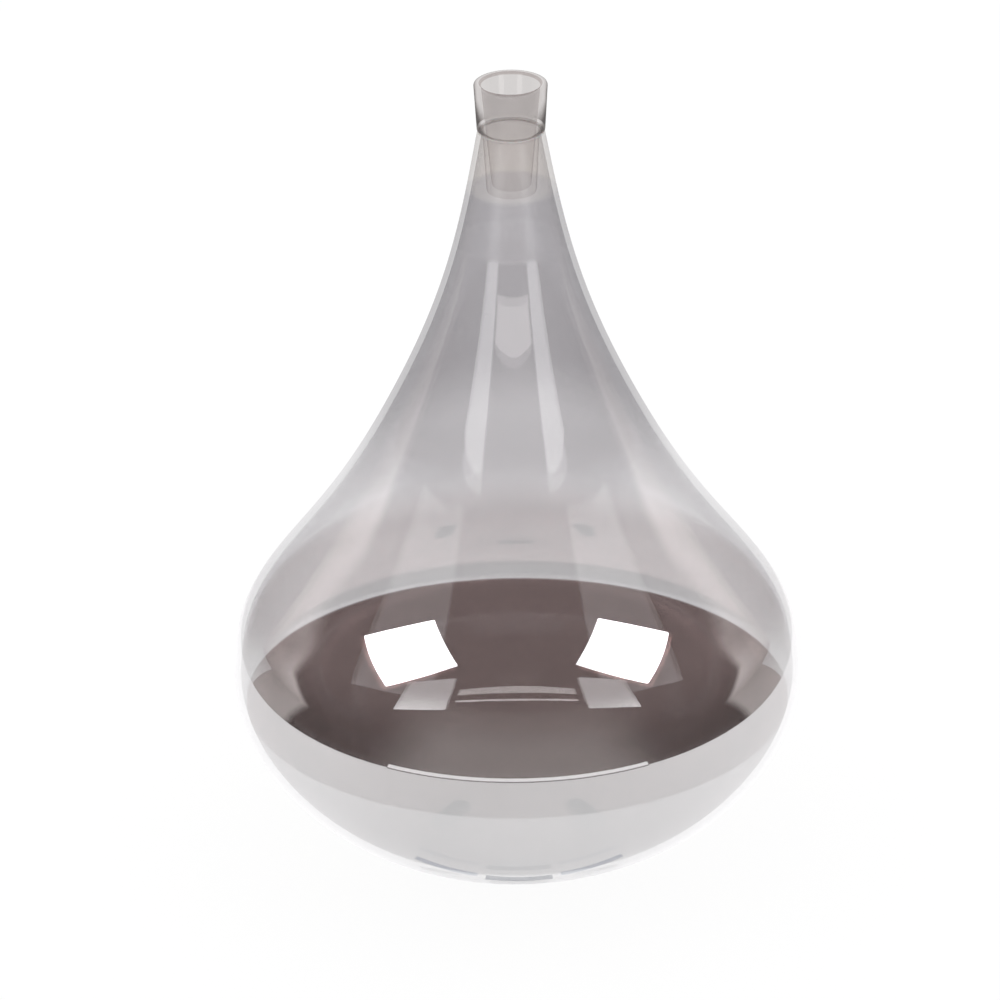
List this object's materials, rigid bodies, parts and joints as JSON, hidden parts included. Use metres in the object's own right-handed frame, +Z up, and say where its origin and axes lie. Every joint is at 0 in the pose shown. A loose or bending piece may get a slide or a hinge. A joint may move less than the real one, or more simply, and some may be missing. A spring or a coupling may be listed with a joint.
{
  "type": "storm glass",
  "caption": "Drop-shaped storm glass vessel in smoked glass with a half-mirrored bulb, a slender neck closed by a lift-out hollow stopper, and soft pads under a ground base.",
  "frame": {"origin": "on the glass's axis, on the surface the pads stand on", "axes": "+Z up along the drop's axis, -Y towards the front, where the picture was taken from"},
  "size_m": [0.194, 0.194, 0.28],
  "materials": {
    "smoked_glass": "clear polished smoked glass at the neck and cone, fading into a half-mirror lustre over the bulb",
    "stopper_glass": "thick clear glass with a faint warm smoke tint, fire-polished rim, finely ground cone",
    "seal_silicone": "soft translucent grey, satin",
    "pad_silicone": "soft translucent blue-grey, satin"
  },
  "bodies": {
    "vessel": {"glass_drop": "smoked_glass", "pad_front": "pad_silicone", "pad_right": "pad_silicone", "pad_left": "pad_silicone"},
    "stopper": {"neck_stopper": "stopper_glass", "seal_ring": "seal_silicone"}
  },
  "joints": [
    {"name": "stopper_lift", "type": "slide", "parent": "vessel", "child": "stopper", "axis": [0, 0, 1], "range_m": [0, 0.04]}
  ]
}
